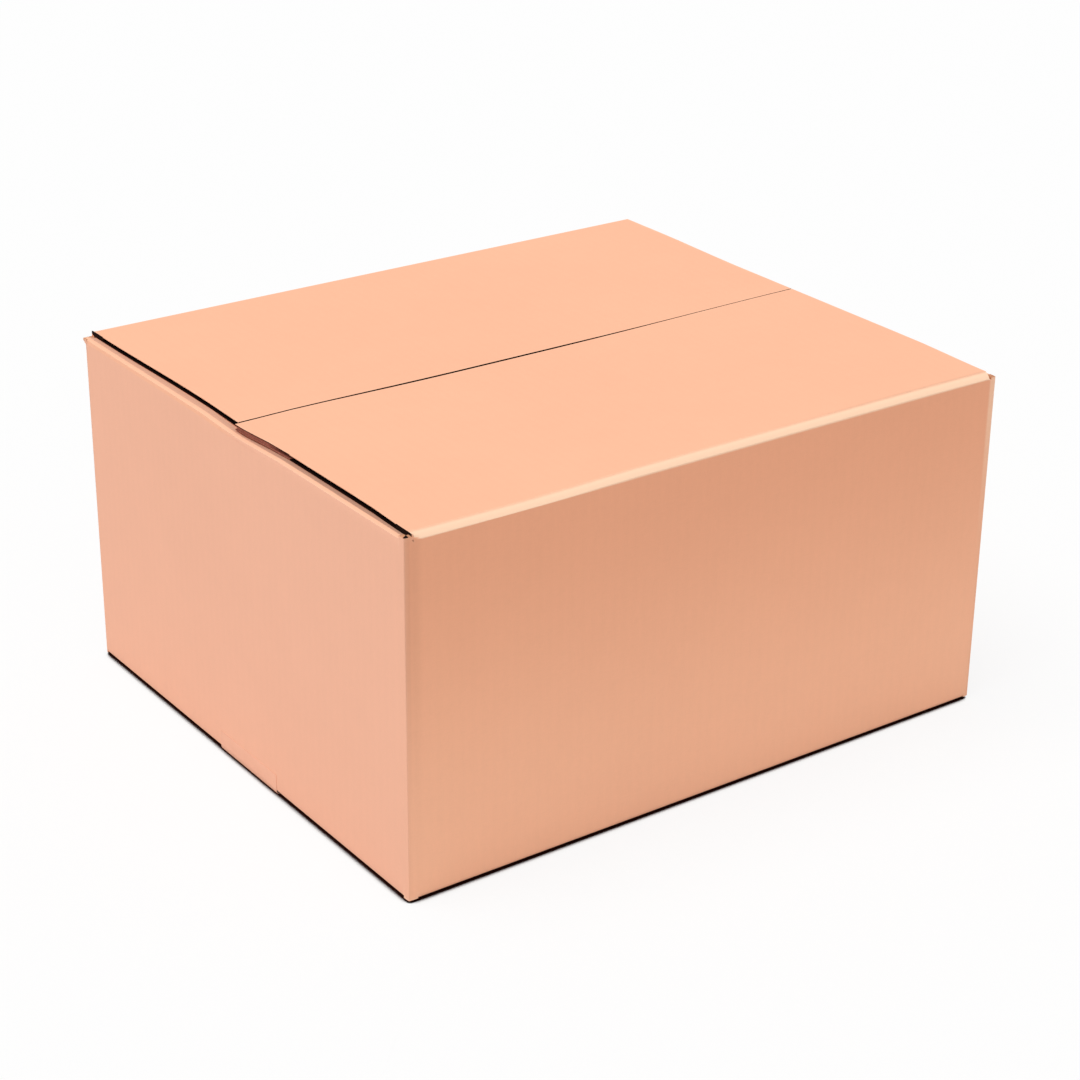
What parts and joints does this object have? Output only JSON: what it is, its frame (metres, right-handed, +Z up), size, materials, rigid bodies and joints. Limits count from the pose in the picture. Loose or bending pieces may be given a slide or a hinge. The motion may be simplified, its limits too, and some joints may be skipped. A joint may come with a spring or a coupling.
{
  "type": "closed cardboard box",
  "caption": "Closed slotted carton of corrugated board: low oblong box whose two outer top flaps meet along its length and swing open on their creases.",
  "frame": {"origin": "middle of the face that the box stands on", "axes": "+X along the long walls, +Y towards the rear long wall, +Z up"},
  "size_m": [0.3804, 0.33, 0.2],
  "materials": {
    "board": "matt kraft liner, pale peach brown",
    "tape": "matt kraft paper tape"
  },
  "bodies": {
    "box": {"carton": "board", "bottom_tape": "tape"},
    "front_flap": {"front_top_flap": "board"},
    "rear_flap": {"rear_top_flap": "board"}
  },
  "joints": [
    {"name": "front_flap_crease", "type": "hinge", "parent": "box", "child": "front_flap", "pos_m": [0, -0.165, 0.2], "axis": [1, 0, 0], "range_deg": [0, 260]},
    {"name": "rear_flap_crease", "type": "hinge", "parent": "box", "child": "rear_flap", "pos_m": [0, 0.165, 0.2], "axis": [-1, 0, 0], "range_deg": [0, 260]}
  ]
}
